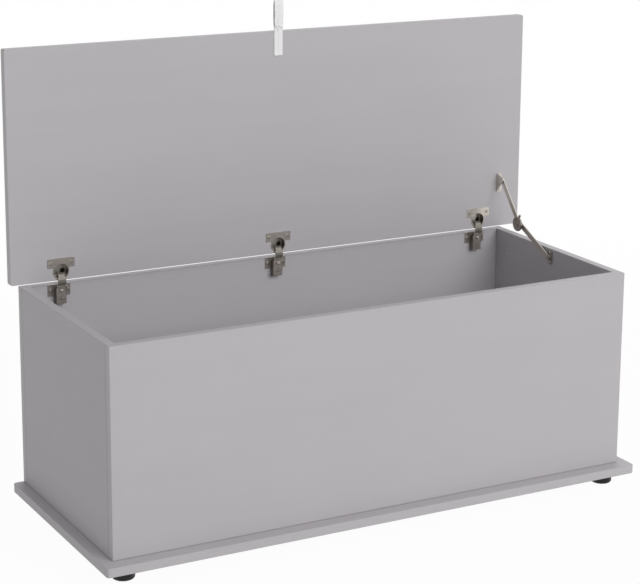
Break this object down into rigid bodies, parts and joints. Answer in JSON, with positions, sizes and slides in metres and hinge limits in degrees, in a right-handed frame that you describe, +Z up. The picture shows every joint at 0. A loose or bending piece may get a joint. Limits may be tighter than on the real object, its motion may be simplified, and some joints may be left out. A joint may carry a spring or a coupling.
{
  "type": "storage chest",
  "caption": "Long storage chest of faced boards on round glides, its hinged lid standing open on concealed cup hinges, with a folding lid stay and a ribbon pull.",
  "frame": {"origin": "on the floor, in the middle of the base board's length and depth", "axes": "+X along the chest to its right as seen from the front, +Y towards the hinged back, +Z up"},
  "size_m": [1.048, 0.436, 0.8756],
  "materials": {
    "faced_board": "pale warm grey melamine-faced board, matt, with light edges",
    "nickel": "nickel-plated pressed steel",
    "dark_nickel": "dark plated steel",
    "cam_alloy": "plain die-cast alloy",
    "glide_plastic": "black moulded plastic",
    "ribbon": "white woven ribbon"
  },
  "bodies": {
    "carcass": {"base_board": "faced_board", "front_panel": "faced_board", "back_panel": "faced_board", "left_side_panel": "faced_board", "right_side_panel": "faced_board", "cam_left_front_upper": "cam_alloy", "cam_left_front_lower": "cam_alloy", "cam_left_rear_upper": "cam_alloy", "cam_left_rear_lower": "cam_alloy", "cam_right_front_upper": "cam_alloy", "cam_right_front_lower": "cam_alloy", "cam_right_rear_upper": "cam_alloy", "cam_right_rear_lower": "cam_alloy", "glide_front_left": "glide_plastic", "glide_front_right": "glide_plastic", "glide_rear_left": "glide_plastic", "glide_rear_right": "glide_plastic", "mounting_plate_left": "nickel", "mounting_plate_centre": "nickel", "mounting_plate_right": "nickel", "hinge_arm_left": "nickel", "hinge_arm_centre": "nickel", "hinge_arm_right": "nickel", "stay_wall_bracket": "nickel"},
    "hinge_links": {"hinge_link_left": "nickel", "hinge_link_centre": "nickel", "hinge_link_right": "nickel"},
    "lid": {"lid_board": "faced_board", "hinge_cup_left": "nickel", "hinge_cup_centre": "nickel", "hinge_cup_right": "nickel", "stay_lid_bracket": "nickel", "pull_strap": "ribbon"},
    "stay_upper": {"stay_upper_arm": "nickel", "stay_drum": "dark_nickel", "stay_knob": "dark_nickel"},
    "stay_lower": {"stay_lower_arm": "nickel"}
  },
  "joints": [
    {"name": "link_turn", "type": "hinge", "parent": "carcass", "child": "hinge_links", "pos_m": [0, 0.1885, 0.3957], "axis": [1, 0, 0], "range_deg": [-45.4, 0]},
    {"name": "lid_turn", "type": "hinge", "parent": "hinge_links", "child": "lid", "pos_m": [0, 0.1945, 0.41503], "axis": [1, 0, 0], "range_deg": [0, 135.39]},
    {"name": "stay_upper_turn", "type": "hinge", "parent": "lid", "child": "stay_upper", "pos_m": [0.4743, 0.172, 0.5005], "axis": [1, 0, 0], "range_deg": [-76.72, 0]},
    {"name": "stay_lower_turn", "type": "hinge", "parent": "carcass", "child": "stay_lower", "pos_m": [0.4766, 0.016, 0.3815], "axis": [1, 0, 0], "range_deg": [-78.25, 0]}
  ],
  "couplings": [
    {"joint": "link_turn", "follows": "lid_turn", "ratio": -0.33527},
    {"joint": "stay_upper_turn", "follows": "lid_turn", "ratio": -0.56655},
    {"joint": "stay_lower_turn", "follows": "lid_turn", "ratio": -0.57786}
  ]
}
